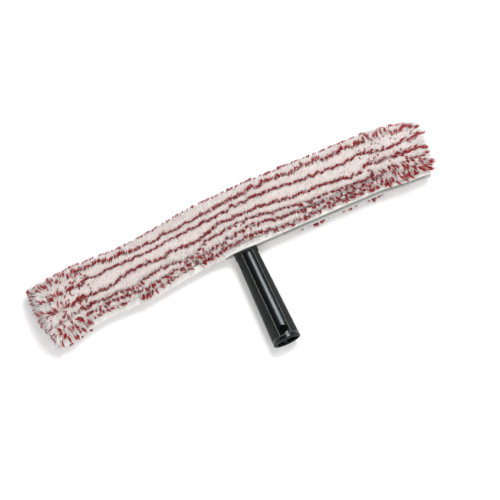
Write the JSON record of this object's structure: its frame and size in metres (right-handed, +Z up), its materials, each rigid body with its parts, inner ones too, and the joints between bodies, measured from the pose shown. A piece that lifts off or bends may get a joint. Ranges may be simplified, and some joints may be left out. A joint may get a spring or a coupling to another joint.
{
  "type": "window scrubber",
  "caption": "Window washing scrubber: a plastic T-bar with a hollow pole handle inside a striped microfibre and red bristle sleeve with a hook-and-loop seam.",
  "frame": {"origin": "centre of the pole socket's mouth, on the handle's axis", "axes": "+X along the bar towards the sleeve's open end, +Y along the handle from the mouth to the bar, +Z up from the side the scrubber lies on"},
  "size_m": [0.4688, 0.1849, 0.0363],
  "materials": {
    "handle_plastic": "black moulded plastic with a fine grain and one polished strip along the top",
    "moulded_plastic": "black moulded plastic, satin",
    "bar_plastic": "black extruded plastic, satin",
    "screw_steel": "stainless steel",
    "backing_cloth": "off-white woven backing",
    "hem_tape": "off-white woven tape",
    "white_pile": "long white microfibre pile",
    "red_strands": "stiff dark red bristle strands",
    "thread": "white sewing thread",
    "hook_tape": "white hook tape",
    "loop_tape": "white loop tape"
  },
  "bodies": {
    "t_bar": {"handle": "handle_plastic", "clamp_plate": "moulded_plastic", "clamp_screws": "screw_steel", "crossbar": "bar_plastic", "left_end_cap": "moulded_plastic", "right_end_cap": "moulded_plastic"},
    "sleeve": {"sewn_backing": "backing_cloth", "split_backing": "backing_cloth", "neck_lips": "backing_cloth", "closed_end_panel": "backing_cloth", "seam_hem": "hem_tape", "neck_hems": "hem_tape", "seam_stitching": "thread", "top_pile_sewn_half": "white_pile", "back_pile_sewn_half": "white_pile", "bottom_pile_sewn_half": "white_pile", "top_pile_split_half": "white_pile", "back_pile_split_half": "white_pile", "bottom_pile_split_half": "white_pile", "neck_pile": "white_pile", "closed_end_pile": "white_pile", "top_strands_sewn_half": "red_strands", "back_strands_sewn_half": "red_strands", "bottom_strands_sewn_half": "red_strands", "top_strands_split_half": "red_strands", "back_strands_split_half": "red_strands", "bottom_strands_split_half": "red_strands", "neck_strands": "red_strands"},
    "upper_flap": {"upper_flap": "backing_cloth", "upper_flap_hem": "hem_tape", "upper_flap_stitching": "thread", "hook_strip": "hook_tape", "upper_flap_pile": "white_pile", "upper_flap_strands": "red_strands"},
    "lower_flap": {"lower_flap": "backing_cloth", "lower_flap_hem": "hem_tape", "lower_flap_stitching": "thread", "loop_strip": "loop_tape", "lower_flap_pile": "white_pile", "lower_flap_strands": "red_strands"}
  },
  "joints": [
    {"name": "sleeve_slide", "type": "slide", "parent": "t_bar", "child": "sleeve", "axis": [-1, 0, 0], "range_m": [0, 0.46]},
    {"name": "upper_flap_fold", "type": "hinge", "parent": "sleeve", "child": "upper_flap", "pos_m": [0.1335, 0.125, 0.0098], "axis": [1, 0, 0], "range_deg": [0, 33], "stiffness_Nm_per_rad": 0.05, "springref_deg": -14.32},
    {"name": "lower_flap_fold", "type": "hinge", "parent": "sleeve", "child": "lower_flap", "pos_m": [0.1335, 0.125, -0.0098], "axis": [-1, 0, 0], "range_deg": [0, 33], "stiffness_Nm_per_rad": 0.05, "springref_deg": -14.32}
  ]
}
